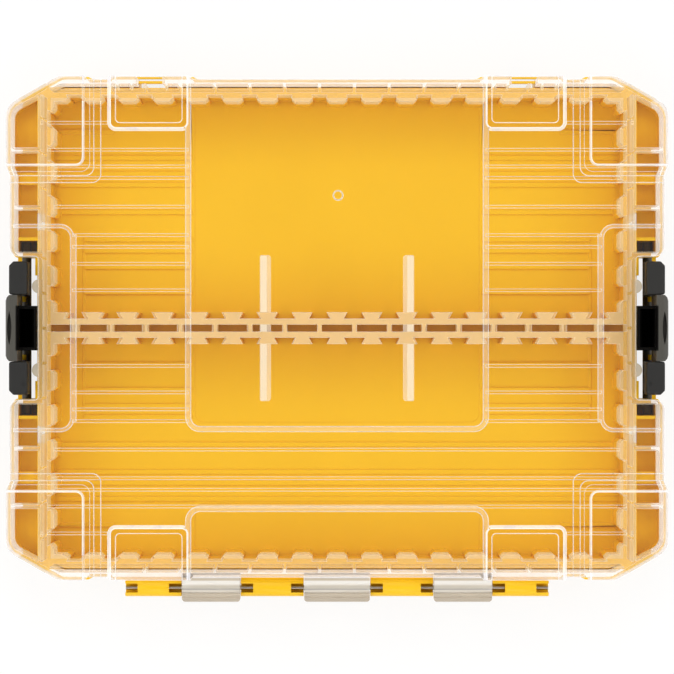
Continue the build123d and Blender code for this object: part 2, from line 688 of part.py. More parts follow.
# Fittings of the lid: what is added to its shell
with BuildPart() as lid_fittings:
    # Raised blocks and frames with sloping edges, cut to the outline
    with BuildSketch(Plane.XY.offset(LID_PLATE_TOP_Z)):
        add(frame_layout(0))
    extrude(amount=BLOCK_RISE, taper=FRAME_SLOPE)
    with BuildSketch(Plane.XY.offset(LID_PLATE_TOP_Z)):
        add(frame_layout(FRAME_BAR))
    extrude(amount=BLOCK_RISE, mode=Mode.SUBTRACT)
    with BuildSketch(Plane.XY.offset(LID_PLATE_TOP_Z)):
        add(corner_blocks(0))
    extrude(amount=BLOCK_RISE, taper=BLOCK_EDGE_SLOPE)
    with BuildSketch(Plane.XY.offset(LID_PLATE_TOP_Z)):
        add(shell_outline(LID_RECESS_X, LID_JOG))
    extrude(amount=BLOCK_RISE, mode=Mode.INTERSECT)
    # Raised lines round the panels
    with BuildSketch(Plane.XY.offset(LID_PLATE_TOP_Z)):
        add(lid_panels())
    extrude(amount=PANEL_LINE_HEIGHT)
    # Ribs under the plate
    with BuildSketch(Plane.XY.offset(LID_PLATE_Z - RIB_HEIGHT)):
        add(rib_layout(RIB_WIDTH))
    extrude(amount=RIB_HEIGHT)
    # Window boxes under the rear frames
    with BuildSketch(Plane.XY.offset(LID_PLATE_Z - WINDOW_BOX_DEPTH)):
        for near, far in WINDOW_BOXES:
            middle_y = RING_Y + EDGE_HOLLOW / 2
            with Locations(*[(side * (near + far) / 2, middle_y) for side in (-1, 1)]):
                Rectangle(far - near, EDGE_HOLLOW + WALL)
                Rectangle(far - near - 2 * WINDOW_BOX_WALL, EDGE_HOLLOW, mode=Mode.SUBTRACT)
    extrude(amount=WINDOW_BOX_DEPTH)
    # Two blades that hang under the plate
    with BuildSketch(Plane.XY.offset(LID_PLATE_Z - BLADE_DEPTH)):
        with Locations(*[(side * BLADE_X, 0) for side in (-1, 1)]):
            RectangleRounded(BLADE_THICK, 2 * BLADE_HALF_LENGTH, BLADE_RADIUS)
    extrude(amount=BLADE_DEPTH)
    with BuildSketch(Plane.XY.offset(LID_PLATE_Z - BLADE_FLANGE_DEPTH)):
        with Locations(*[(side * (BLADE_X - BLADE_FLANGE), 0) for side in (-1, 1)]):
            RectangleRounded(BLADE_THICK, 2 * BLADE_HALF_LENGTH, 2 * BLADE_RADIUS)
    extrude(amount=BLADE_FLANGE_DEPTH)
    # Half-round keepers beside the latches
    with BuildSketch(Plane.XY.offset(LID_RIM_Z)):
        with Locations(*mirrored_pairs(KEEPER_X, KEEPER_Y)):
            Circle(KEEPER_RADIUS)
        with Locations(*mirrored_pairs((LID_RECESS_X + KEEPER_X - SEAM) / 2, KEEPER_Y)):
            Rectangle(KEEPER_X - LID_RECESS_X + SEAM, 2 * KEEPER_RADIUS)
        Rectangle(2 * (LID_RECESS_X - SIDE_SKIN), 2 * RING_Y, mode=Mode.SUBTRACT)
    extrude(amount=KEEPER_HEIGHT)
    # Hinge knuckles
    for low, high in knuckle_spans(1):
        with BuildSketch(cross_plane(low)) as knuckle:
            Circle(LID_KNUCKLE_RADIUS)
            with Locations(((HINGE_SETBACK + WALL / 2) / 2, PARTING_GAP / 2 + KNUCKLE_ARM / 2)):
                Rectangle(HINGE_SETBACK + WALL / 2, KNUCKLE_ARM)
            Circle(PIN_RADIUS + PIN_CLEARANCE, mode=Mode.SUBTRACT)
            # Fine grooves along the knuckle
            for angle in KNUCKLE_GROOVE_ANGLES:
                with Locations(Vector(LID_KNUCKLE_RADIUS, 0).rotate(Axis.Z, angle)):
                    Circle(KNUCKLE_GROOVE_RADIUS, mode=Mode.SUBTRACT)
        extrude(knuckle.sketch, amount=high - low)
        # Outer corners of the knuckle, cut round
        with BuildSketch(Plane.XY.offset(AXIS_Z)) as corners:
            outermost = AXIS_Y - LID_KNUCKLE_RADIUS
            for end, inward in ((low, 1), (high, -1)):
                with Locations((end + inward * KNUCKLE_END_RADIUS / 2, outermost + KNUCKLE_END_RADIUS / 2)):
                    Rectangle(KNUCKLE_END_RADIUS, KNUCKLE_END_RADIUS)
                with Locations((end + inward * KNUCKLE_END_RADIUS, outermost + KNUCKLE_END_RADIUS)):
                    Circle(KNUCKLE_END_RADIUS, mode=Mode.SUBTRACT)
        extrude(corners.sketch, amount=LID_KNUCKLE_RADIUS, both=True, mode=Mode.SUBTRACT)

# Cuts in the lid's shell
with BuildPart() as lid_cuts:
    # Stepped groove beside each corner block
    for steps, growth in enumerate(GROOVE_STEPS, 1):
        with BuildSketch(Plane.XY.offset(LID_PLATE_TOP_Z - steps * GROOVE_STEP_DEPTH)):
            add(corner_blocks(growth))
            add(corner_blocks(0), mode=Mode.SUBTRACT)
        extrude(amount=steps * GROOVE_STEP_DEPTH)
    # Notches in the rear wall, over the slots of the base
    with BuildSketch(Plane.XY.offset(LID_RIM_Z)):
        depth = WALL + BLOCK_PROUD_Y
        with Locations(*[(side * BAR_SLOT_X, HALF_DEPTH - WALL + depth / 2) for side in (-1, 1)]):
            Rectangle(BAR_SLOT_LENGTH, depth)
    extrude(amount=LID_PLATE_Z - LID_RIM_Z)
    # Room for the base's knuckles
    for low, high in knuckle_spans(0):
        with BuildSketch(cross_plane(low - KNUCKLE_RELIEF)) as relief:
            Circle(BASE_KNUCKLE_RADIUS + KNUCKLE_RELIEF)
        extrude(relief.sketch, amount=high - low + 2 * KNUCKLE_RELIEF)

# Lid: a clear shell with the same inner walls, and its lines, blocks and frames on top
with BuildPart() as lid:
    with BuildSketch(Plane.XY.offset(LID_PLATE_Z)):
        add(shell_outline(LID_RECESS_X, LID_JOG))
    extrude(amount=PLATE)
    with BuildSketch(Plane.XY.offset(LID_RIM_Z)):
        add(shell_outline(LID_RECESS_X, LID_JOG))
        add(hollow_outline(LID_RECESS_X), mode=Mode.SUBTRACT)
        add(wall_layout(LID_RECESS_X))
    extrude(amount=LID_PLATE_Z - LID_RIM_Z)
    add(lid_cuts.part, mode=Mode.SUBTRACT)
    add(lid_fittings.part)
lid.part.label = "lid"
export_step(lid.part, "parts/lid.step")

# Steel pin through all the knuckles
with BuildPart() as hinge_pin:
    with BuildSketch(cross_plane(-KNUCKLE_EDGES[-1] + KNUCKLE_END_GAP)) as end:
        Circle(PIN_RADIUS)
    extrude(end.sketch, amount=2 * (KNUCKLE_EDGES[-1] - KNUCKLE_END_GAP))
    chamfer(hinge_pin.edges().filter_by(GeomType.CIRCLE), PIN_RADIUS / 4)
hinge_pin.part.label = "hinge_pin"
export_step(hinge_pin.part, "parts/hinge_pin.step")

# Latches
for side, hand in ((-1, "left"), (1, "right")):
    with BuildPart() as lever:
        # Pull, cut back at its outer corners, with a scallop for the finger
        with BuildSketch(Plane.XY.offset(PULL_BOTTOM)):
            Polygon(
                (side * PULL_IN, -PULL_HALF_WIDTH),
                (side * (PULL_OUT - PULL_CORNER), -PULL_HALF_WIDTH),
                (side * PULL_OUT, -PULL_HALF_WIDTH + PULL_CORNER),
                (side * PULL_OUT, PULL_HALF_WIDTH - PULL_CORNER),
                (side * (PULL_OUT - PULL_CORNER), PULL_HALF_WIDTH),
                (side * PULL_IN, PULL_HALF_WIDTH),
            )
        extrude(amount=LATCH_TOP - PULL_BOTTOM)
        outer = 0 if side < 0 else -1
        chamfer(lever.faces().sort_by(Axis.X)[outer].edges().group_by(Axis.Z)[-1], PULL_TOP_BEVEL)
        chamfer(lever.faces().sort_by(Axis.X)[outer].edges(), PULL_BEVEL)
        with BuildSketch(Plane.XY.offset(LATCH_TOP - SCALLOP_DEPTH)):
            with BuildLine():
                near = side * SCALLOP_NEAR
                far = side * (SCALLOP_NEAR + SCALLOP_WIDTH)
                middle = (near + far) / 2
                ThreePointArc((middle, -SCALLOP_HALF_LENGTH), (near, 0), (middle, SCALLOP_HALF_LENGTH))
                ThreePointArc((middle, SCALLOP_HALF_LENGTH), (far, 0), (middle, -SCALLOP_HALF_LENGTH))
            make_face()
        extrude(amount=SCALLOP_DEPTH, mode=Mode.SUBTRACT)
        # Bar that turns in the base
        with BuildSketch(Plane.XZ) as bar:
            with Locations((side * LATCH_AXIS_X, LATCH_AXIS_Z)):
                Circle(BAR_RADIUS)
        extrude(bar.sketch, amount=BAR_HALF_LENGTH, both=True)
        # Plates that carry the pads
        for end in (-1, 1):
            with BuildSketch(Plane.XY.offset(LATCH_AXIS_Z)):
                with Locations(
                    (side * (WEB_PLATE_IN + WEB_PLATE / 2), end * (WEB_PLATE_NEAR + WEB_PLATE_FAR) / 2)
                ):
                    Rectangle(WEB_PLATE, WEB_PLATE_FAR - WEB_PLATE_NEAR)
            extrude(amount=WEB_PLATE_TOP - LATCH_AXIS_Z)
        # Pocket in the middle, open upwards, with a nose towards the lid
        with BuildSketch(Plane.XY.offset(POCKET_BOTTOM)):
            with Locations((side * (POCKET_IN + POCKET_OUT) / 2, 0)):
                Rectangle(POCKET_OUT - POCKET_IN, 2 * POCKET_HALF_WIDTH)
        extrude(amount=POCKET_TOP - POCKET_BOTTOM)
        with BuildSketch(Plane.XY.offset(POCKET_NOSE_BOTTOM)):
            with Locations((side * (POCKET_NOSE_IN + POCKET_IN) / 2, 0)):
                Rectangle(POCKET_IN - POCKET_NOSE_IN, 2 * POCKET_HALF_WIDTH)
        extrude(amount=POCKET_TOP - POCKET_NOSE_BOTTOM)
        with BuildSketch(Plane.XY.offset(LATCH_AXIS_Z + BAR_RADIUS + POCKET_WALL)):
            with Locations((side * (POCKET_NOSE_IN + POCKET_OUT) / 2, 0)):
                Rectangle(
                    POCKET_OUT - POCKET_NOSE_IN - 2 * POCKET_WALL,
                    2 * (POCKET_HALF_WIDTH - POCKET_END_WALL),
                )
        extrude(amount=POCKET_TOP, mode=Mode.SUBTRACT)
        with BuildSketch(Plane.XY.offset(LATCH_AXIS_Z + BAR_RADIUS + POCKET_WALL)):
            with Locations((side * (POCKET_IN + POCKET_WALL / 2), 0)):
                Rectangle(POCKET_WALL, 2 * (POCKET_HALF_WIDTH - POCKET_END_WALL / 2))
        extrude(amount=POCKET_NOSE_BOTTOM + POCKET_WALL - LATCH_AXIS_Z - BAR_RADIUS - POCKET_WALL)
        with BuildSketch(Plane.XY.offset(POCKET_NOSE_BOTTOM)):
            with Locations((side * (POCKET_NOSE_IN + POCKET_IN + POCKET_WALL) / 2, 0)):
                Rectangle(
                    POCKET_IN + POCKET_WALL - POCKET_NOSE_IN,
                    2 * (POCKET_HALF_WIDTH - POCKET_END_WALL / 2),
                )
        extrude(amount=POCKET_WALL)
    lever.part.label = f"{hand}_latch_lever"
    export_step(lever.part, f"parts/{hand}_latch_lever.step")

    for end, place in ((1, "rear"), (-1, "front")):
        with BuildPart() as pad:
            with BuildSketch(Plane.XY.offset(PAD_BOTTOM)):
                Polygon(
                    (side * PAD_IN, end * PAD_START),
                    (side * PAD_OUT, end * PAD_START),
                    (side * PAD_OUT, end * (PAD_END - PAD_CORNER)),
                    (side * (PAD_OUT - PAD_CORNER), end * PAD_END),
                    (side * PAD_IN, end * PAD_END),
                )
            extrude(amount=LATCH_TOP - PAD_BOTTOM)
            fillet(pad.edges().filter_by(Axis.Z) + pad.edges().group_by(Axis.Z)[-1], PAD_FILLET)
            # Inner side, which leans out towards the bar
            with BuildSketch(Plane.XZ) as lean:
                Polygon(
                    (side * (PAD_IN - PAD_LEAN), LATCH_TOP - PAD_LEAN_DROP),
                    (side * PAD_IN, LATCH_TOP - PAD_LEAN_DROP),
                    (side * (PAD_IN + PAD_LEAN), PAD_BOTTOM),
                    (side * (PAD_IN - PAD_LEAN), PAD_BOTTOM),
                )
            extrude(lean.sketch, amount=HALF_DEPTH, both=True, mode=Mode.SUBTRACT)
            with BuildSketch(Plane.XY.offset(PAD_BOTTOM)):
                with Locations(
                    (side * (WEB_PLATE_IN + WEB_PLATE / 2), end * (WEB_PLATE_NEAR + WEB_PLATE_FAR) / 2)
                ):
                    Rectangle(
                        WEB_PLATE + 2 * PAD_SLOT_CLEARANCE,
                        WEB_PLATE_FAR - WEB_PLATE_NEAR + 2 * PAD_SLOT_CLEARANCE,
                    )
            extrude(amount=WEB_PLATE_TOP + PAD_SLOT_CLEARANCE - PAD_BOTTOM, mode=Mode.SUBTRACT)
            # Gate mark of the front pads
            if end < 0:
                with BuildSketch(Plane.XY.offset(LATCH_TOP - GATE_DIMPLE_DEPTH)):
                    with Locations((side * GATE_DIMPLE_X, end * GATE_DIMPLE_Y)):
                        Circle(GATE_DIMPLE_RADIUS)
                extrude(amount=GATE_DIMPLE_DEPTH, mode=Mode.SUBTRACT)
        pad.part.label = f"{hand}_latch_{place}_pad"
        export_step(pad.part, f"parts/{hand}_latch_{place}_pad.step")
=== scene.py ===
import math

import bpy
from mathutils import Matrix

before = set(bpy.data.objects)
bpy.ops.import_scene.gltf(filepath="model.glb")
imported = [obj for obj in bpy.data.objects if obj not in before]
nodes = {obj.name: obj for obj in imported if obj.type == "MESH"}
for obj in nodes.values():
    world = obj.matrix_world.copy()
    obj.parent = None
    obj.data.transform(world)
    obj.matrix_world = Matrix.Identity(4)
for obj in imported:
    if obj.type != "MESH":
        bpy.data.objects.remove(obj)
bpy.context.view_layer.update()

# One millimetre in metres. Places and heights without it are in millimetres
MM = 0.001

# Camera straight above the lid, and the width that it sees at the height of the lid's top
CAMERA_HEIGHT = 1.856
CAMERA_Y = -4.1 * MM
VIEW_WIDTH = 309.6 * MM
VIEW_PLANE = 56.0 * MM
SENSOR = 36.0

# Floor, world and lamps, with the lamps' watts in front, at the right, behind and at the left
FLOOR_RADIUS = 4.0
FLOOR_GLOW = 0.85
HORIZON = 1.0
OVERHEAD = 0.26
LAMP_WATTS = (5.6, 5.6, 7.2, 6.4)
LAMP_SIZE = (1.1, 0.6)
LAMP_DISTANCE = 1.5
LAMP_RISE = math.radians(50)

# Edges sharper than this are rounded, by the full width within these heights and a share of it elsewhere
SHARP_ANGLE = math.radians(35)
TRAY_EDGE = 0.12 * MM
TRAY_SHARE = 0.0
TRAY_BANDS = ((1.0, 60.0),)
LID_EDGE = 0.3 * MM
LID_SHARE = 0.4
LID_BANDS = ((52.0, 52.6), (54.0, 60.0))

# Tones of the moulded plastics and of the wire
TRAY_TONES = ((0.90, 0.535, 0.006), (0.93, 0.56, 0.009))
LEVER_TONES = ((0.05, 0.046, 0.036), (0.06, 0.055, 0.044))
PAD_TONES = ((0.011, 0.0105, 0.0095), (0.016, 0.015, 0.0135))
WIRE_TONES = ((0.30, 0.29, 0.28), (0.52, 0.51, 0.50))

# Pockets of the latch levers: half sizes that hold them, the near-black tone of the painted shade in them
# and the share of the gloss that this painted shade keeps
POCKET_X = 148.05
POCKET_Y = 10.33
POCKET_SHADE_TONE = (0.004, 0.0035, 0.003)
POCKET_SHADE_GLOSS = 0.1

# Zones of the lid: half sizes of its outer rim, rim ring, side channels and faded lines, and its hinge
OUTER_X = 146.4
OUTER_Y = 112.3
RING_X = 133.5
RING_Y = 107.4
CHANNEL_X = 137.6
FADE_X = 106.5
FADE_Y = 104.4
HINGE_Y = 116.2
HINGE_REACH = 11.4

# Zones by height: up to the rim, between the low and the high tone, and from the lines on the lid's top
RIM_END = (28.4, 28.6)
TONE_CHANGE = (40.0, 44.0)
LINES_START = (54.2, 54.35)

# How level a face is, from 0 on a wall to 1 on a flat top, where one kind of face passes into the next
WALL_SLOPE = (0.1, 0.3)
ROUND_SLOPE = (0.9, 0.98)
FLAT_SLOPE = (0.95, 0.99)

# How milky the clear plastic is: a faint haze on flat faces and walls; painted glow on walls seen at a
# glance; haze with painted glow on rims, near-white on the outer rim; and, by height, painted highlights on
# rounded edges and haze with painted glow on low faces
FACE_VEIL = 0.004
WALL_VEIL = 0.05
WALL_GLANCE_GLOW = 0.6
OUTER_RIM_GLOW = 0.97
RING_HAZE_AND_GLOW = 0.3
# The knuckles' share covered by their painted light and shade
KNUCKLE_PAINTED_COVER = 0.8
EDGE_HIGHLIGHTS = ((0.0, 1.0), (29.0, 0.7), (54.2, 0.9), (55.0, 0.7), (55.6, 0.95))
DEPTH_HAZE_AND_GLOW = ((0.0, 0.62), (44.0, 0.85), (47.6, 0.45), (50.4, 0.0), (55.3, 0.2), (55.6, 0.0))

# Shares of the haze and painted glow kept by faded lines and towards the lamps, and of the painted streaks
# of shade on the lines
FADE = 0.35
LAMP_SHARE = 0.3
SHADE_STREAKS = 0.5

# Tones of the haze and painted glow: low down, high up, of the painted highlights on rounded edges, of the
# near-white painted glow outside, of the painted shade over the channels and of the painted streaks of shade
LOW_TONE = (0.88, 0.75, 0.49)
HIGH_TONE = (0.93, 0.84, 0.68)
EDGE_HIGHLIGHT_TONE = (0.94, 0.90, 0.80)
OUTER_GLOW_TONE = (0.97, 0.95, 0.97)
CHANNEL_SHADE_TONE = (0.74, 0.60, 0.53)
STREAK_SHADE_TONE = (0.70, 0.72, 0.79)
THROUGH_TONE = (0.99, 0.985, 0.97)

# Painted light and shade across the hinge knuckles, from the lid's wall outwards, as shares of their reach:
# a painted highlight band, dark painted lines where the pin and a groove show through, and bands of painted
# shade that darken outwards
HINGE_LIGHT_AND_SHADE = (
    (0.0, (0.60, 0.53, 0.43)),
    (0.08, (0.60, 0.53, 0.43)),
    (0.13, (0.90, 0.89, 0.86)),
    (0.24, (0.88, 0.86, 0.83)),
    (0.32, (0.62, 0.58, 0.51)),
    (0.42, (0.62, 0.58, 0.51)),
    (0.45, (0.34, 0.33, 0.32)),
    (0.49, (0.70, 0.66, 0.59)),
    (0.57, (0.62, 0.56, 0.47)),
    (0.60, (0.44, 0.40, 0.34)),
    (0.64, (0.60, 0.52, 0.41)),
    (1.0, (0.55, 0.47, 0.37)),
)

# Gloss of the clear plastic seen straight on, and what it gains at a glance
STRAIGHT_GLOSS = 0.03
GLANCING_GLOSS = 0.2


def new_material(name):
    """An empty node material: the material, its node tree and its output node."""
    material = bpy.data.materials.new(name)
    material.use_nodes = True
    tree = material.node_tree
    tree.nodes.clear()
    return material, tree, tree.nodes.new("ShaderNodeOutputMaterial")


def add_node(tree, kind, values=None, **settings):
    """A node of this kind, with values for its sockets and settings for itself."""
    made = tree.nodes.new(kind)
    for name, value in settings.items():
        setattr(made, name, value)
    for name, value in (values or {}).items():
        made.inputs[name].default_value = value
    return made


def split(tree, vector):
    """The node that gives a vector's X, Y and Z."""
    made = add_node(tree, "ShaderNodeSeparateXYZ")
    tree.links.new(vector, made.inputs["Vector"])
    return made


def combine(tree, operation, *values, clamp=False):
    """One factor worked out from others, or from numbers."""
    made = add_node(tree, "ShaderNodeMath", operation=operation, use_clamp=clamp)
    for socket, value in zip(made.inputs, values):
        if isinstance(value, (int, float)):
            socket.default_value = value
        else:
            tree.links.new(value, socket)
    return made.outputs["Value"]


def product(tree, factor, *others):
    """Factors multiplied together."""
    for other in others:
        factor = combine(tree, "MULTIPLY", factor, other)
    return factor


def spread(tree, factor, low, high, start=0.0, end=1.0, soft=False):
    """A factor that runs from low to high as another goes from start to end."""
    sizes = {"From Min": start, "From Max": end, "To Min": low, "To Max": high}
    run = "SMOOTHSTEP" if soft else "LINEAR"
    made = add_node(tree, "ShaderNodeMapRange", sizes, interpolation_type=run)
    tree.links.new(factor, made.inputs["Value"])
    return made.outputs["Result"]


def rise(tree, factor, start, end):
    """A soft step from 0 to 1 as a factor goes from start to end."""
    return spread(tree, factor, 0.0, 1.0, start, end, soft=True)


def fall(tree, factor, start, end):
    """A soft step from 1 to 0 as a factor goes from start to end."""
    return spread(tree, factor, 1.0, 0.0, start, end, soft=True)


def by_height(tree, height, levels):
    """A factor by height, which changes at each level given in millimetres."""
    value = levels[0][1]
    for (_, below), (start, above) in zip(levels, levels[1:]):
        change = spread(tree, height, 0.0, above - below, start * MM, (start + 0.15) * MM, soft=True)
        value = combine(tree, "ADD", change, value)
    return value


def beyond(tree, place, x, y):
    """A factor that is 1 outside a rectangle given by its half sizes in millimetres."""
    aside = rise(tree, combine(tree, "ABSOLUTE", place.outputs["X"]), x * MM, (x + 0.1) * MM)
    ahead = rise(tree, combine(tree, "ABSOLUTE", place.outputs["Y"]), y * MM, (y + 0.1) * MM)
    return combine(tree, "MAXIMUM", aside, ahead)


def object_coordinates(tree):
    """Places in metres on the piece, which stay on it as it moves."""
    return add_node(tree, "ShaderNodeTexCoord").outputs["Object"]


def noise(tree, scale, detail, roughness=0.5):
    """Noise with this many cells per metre."""
    values = {"Scale": scale, "Detail": detail, "Roughness": roughness}
    made = add_node(tree, "ShaderNodeTexNoise", values)
    tree.links.new(object_coordinates(tree), made.inputs["Vector"])
    return made.outputs["Fac"]


def bump(tree, height, strength, distance):
    """Surface normal roughened by a height."""
    made = add_node(tree, "ShaderNodeBump", {"Strength": strength, "Distance": distance})
    tree.links.new(height, made.inputs["Height"])
    return made.outputs["Normal"]


def many_tones(tree, factor, tones):
    """A colour that runs through several tones, each at its place from 0 to 1."""
    ramp = add_node(tree, "ShaderNodeValToRGB")
    stops = ramp.color_ramp.elements
    for _ in tones[2:]:
        stops.new(0.5)
    for stop, (place, tone) in zip(stops, tones):
        stop.position = place
        stop.color = (*tone, 1)
    tree.links.new(factor, ramp.inputs["Fac"])
    return ramp.outputs["Color"]


def two_tones(tree, factor, tones, low=0.3, high=0.7):
    """A colour between two tones, as a factor goes from low to high."""
    return many_tones(tree, factor, ((low, tones[0]), (high, tones[1])))


def tinted(tree, factor, colour, tone):
    """A colour taken by a factor towards a tone, or towards another colour."""
    made = add_node(tree, "ShaderNodeMix", data_type="RGBA")
    tree.links.new(factor, made.inputs["Factor"])
    first, second = [socket for socket in made.inputs if socket.type == "RGBA"]
    tree.links.new(colour, first)
    if isinstance(tone, tuple):
        second.default_value = (*tone, 1)
    else:
        tree.links.new(tone, second)
    return next(socket for socket in made.outputs if socket.type == "RGBA")


def mix(tree, factor, first, second):
    """Two shaders mixed by a factor."""
    made = add_node(tree, "ShaderNodeMixShader")
    tree.links.new(factor, made.inputs["Fac"])
    tree.links.new(first, made.inputs[1])
    tree.links.new(second, made.inputs[2])
    return made.outputs["Shader"]


def pocket_shade_mask(tree):
    """A factor that is 1 in the pocket of a latch lever, where painted shade makes the deep pocket look
    black.
    """
    place = split(tree, object_coordinates(tree))
    return combine(tree, "SUBTRACT", 1.0, beyond(tree, place, POCKET_X, POCKET_Y))


def moulded_plastic(name, tones, roughness, grain, grain_depth, specular=0.5, pocket=False):
    """Opaque moulded plastic: flow marks in its colour, a fine grain from the mould and, if asked, painted
    shade in the pocket of a latch lever.
    """
    material, tree, output = new_material(name)
    shader = add_node(tree, "ShaderNodeBsdfPrincipled", {"IOR": 1.5, "Specular IOR Level": specular})
    colour = two_tones(tree, noise(tree, scale=14.0, detail=4.0), tones)
    if pocket:
        # painted shade: the deep pocket of the lever is coloured near-black and loses most of its gloss
        inside = pocket_shade_mask(tree)
        colour = tinted(tree, inside, colour, POCKET_SHADE_TONE)
        gloss = spread(tree, inside, specular, specular * POCKET_SHADE_GLOSS)
        tree.links.new(gloss, shader.inputs["Specular IOR Level"])
    tree.links.new(colour, shader.inputs["Base Color"])
    texture = noise(tree, scale=grain, detail=3.0, roughness=0.6)
    tree.links.new(spread(tree, texture, roughness - 0.06, roughness + 0.06), shader.inputs["Roughness"])
    tree.links.new(bump(tree, texture, 0.25, grain_depth), shader.inputs["Normal"])
    tree.links.new(shader.outputs["BSDF"], output.inputs["Surface"])
    return material


def drawn_steel(name):
    """Wire, with fine marks along its length."""
    material, tree, output = new_material(name)
    shader = add_node(tree, "ShaderNodeBsdfPrincipled", {"Metallic": 1.0})
    stretch = add_node(tree, "ShaderNodeMapping", {"Scale": (60.0, 4000.0, 4000.0)})
    tree.links.new(object_coordinates(tree), stretch.inputs["Vector"])
    texture = add_node(tree, "ShaderNodeTexNoise", {"Scale": 1.0, "Detail": 3.0})
    tree.links.new(stretch.outputs["Vector"], texture.inputs["Vector"])
    marks = texture.outputs["Fac"]
    tree.links.new(two_tones(tree, marks, WIRE_TONES), shader.inputs["Base Color"])
    tree.links.new(spread(tree, marks, 0.22, 0.42), shader.inputs["Roughness"])
    tree.links.new(shader.outputs["BSDF"], output.inputs["Surface"])
    return material


def lid_zones(tree, place, level):
    """Factors that are 1 in the lid's zones: by place, by height and on its rounded edges."""
    height = place.outputs["Z"]
    return {
        "outer": beyond(tree, place, OUTER_X, OUTER_Y),
        "ring": beyond(tree, place, RING_X, RING_Y),
        "channel": beyond(tree, place, CHANNEL_X, OUTER_Y),
        "hinge": fall(tree, place.outputs["Y"], -(HINGE_Y + 0.1) * MM, -HINGE_Y * MM),
        "rim": fall(tree, height, *(z * MM for z in RIM_END)),
        "lines": rise(tree, height, *(z * MM for z in LINES_START)),
        "rounded": product(tree, rise(tree, level, *WALL_SLOPE), fall(tree, level, *ROUND_SLOPE)),
    }


def faded_lines(tree, place, zones):
    """What the lines on the lid's top keep: less over the front and back walls, beside the corner blocks."""
    near_wall = product(tree, beyond(tree, place, OUTER_X, FADE_Y), beyond(tree, place, FADE_X, OUTER_Y))
    on_wall = product(tree, near_wall, combine(tree, "SUBTRACT", 1.0, zones["outer"]))
    return combine(tree, "MULTIPLY_ADD", product(tree, on_wall, zones["lines"]), FADE - 1.0, 1.0)


def haze_and_painted_glow(tree, place, level, facing, zones):
    """How much the clear plastic hides, as haze and as painted glow and highlights, which is less for the
    light that casts its shadow.
    """
    height = place.outputs["Z"]
    kept = faded_lines(tree, place, zones)
    # painted highlights: white lines on the rounded edges
    edge = product(tree, zones["rounded"], by_height(tree, height, EDGE_HIGHLIGHTS), kept)
    # painted glow on walls, strongest where they are seen at a glance
    glance = product(tree, combine(tree, "POWER", facing, 3.0), WALL_GLANCE_GLOW)
    wall = product(tree, fall(tree, level, *WALL_SLOPE), combine(tree, "ADD", glance, WALL_VEIL))
    in_ring = product(tree, zones["rim"], zones["ring"], RING_HAZE_AND_GLOW - DEPTH_HAZE_AND_GLOW[0][1])
    depth = combine(tree, "ADD", by_height(tree, height, DEPTH_HAZE_AND_GLOW), in_ring)
    # near-white painted glow on the outer rim
    at_rim = product(tree, zones["outer"], zones["rim"], OUTER_RIM_GLOW)
    flat = product(tree, combine(tree, "MAXIMUM", depth, at_rim), rise(tree, level, *FLAT_SLOPE))
    upright = combine(tree, "ADD", edge, wall)
    haze_glow_cover = combine(tree, "ADD", upright, combine(tree, "ADD", flat, FACE_VEIL), clamp=True)
    # the knuckles are mostly covered, so that their painted light and shade show
    haze_glow_cover = combine(tree, "MAXIMUM", haze_glow_cover, product(tree, zones["hinge"], KNUCKLE_PAINTED_COVER))
    shadow = add_node(tree, "ShaderNodeLightPath").outputs["Is Shadow Ray"]
    less = combine(tree, "SUBTRACT", product(tree, haze_glow_cover, LAMP_SHARE), haze_glow_cover)
    return combine(tree, "ADD", haze_glow_cover, product(tree, shadow, less))


def haze_and_glow_tone(tree, place, zones):
    """Colour of the haze and painted glow, with painted streaks of shade on the lid's lines and bands of
    painted light and shade across its knuckles.
    """
    height = rise(tree, place.outputs["Z"], *(z * MM for z in TONE_CHANGE))
    tone = two_tones(tree, height, (LOW_TONE, HIGH_TONE), 0.0, 1.0)
    # painted shade: a darker tone on the rims over the deep side channels
    tone = tinted(tree, product(tree, zones["channel"], zones["rim"]), tone, CHANNEL_SHADE_TONE)
    # painted highlight tone on rounded edges and near-white painted glow outside
    tone = tinted(tree, zones["rounded"], tone, EDGE_HIGHLIGHT_TONE)
    tone = tinted(tree, zones["outer"], tone, OUTER_GLOW_TONE)
    # painted shade: grey-blue streaks at random on the rounded edges of the lines
    shade_streaks = rise(tree, noise(tree, scale=160.0, detail=4.0, roughness=0.6), 0.52, 0.62)
    shade_streaks = product(tree, shade_streaks, zones["rounded"], zones["lines"], SHADE_STREAKS)
    tone = tinted(tree, shade_streaks, tone, STREAK_SHADE_TONE)
    # painted highlight, painted lines of the pin and groove, and painted shade, in bands across the knuckles
    across = spread(tree, place.outputs["Y"], 0.0, 1.0, -HINGE_Y * MM, -(HINGE_Y + HINGE_REACH) * MM)
    return tinted(tree, zones["hinge"], tone, many_tones(tree, across, HINGE_LIGHT_AND_SHADE))


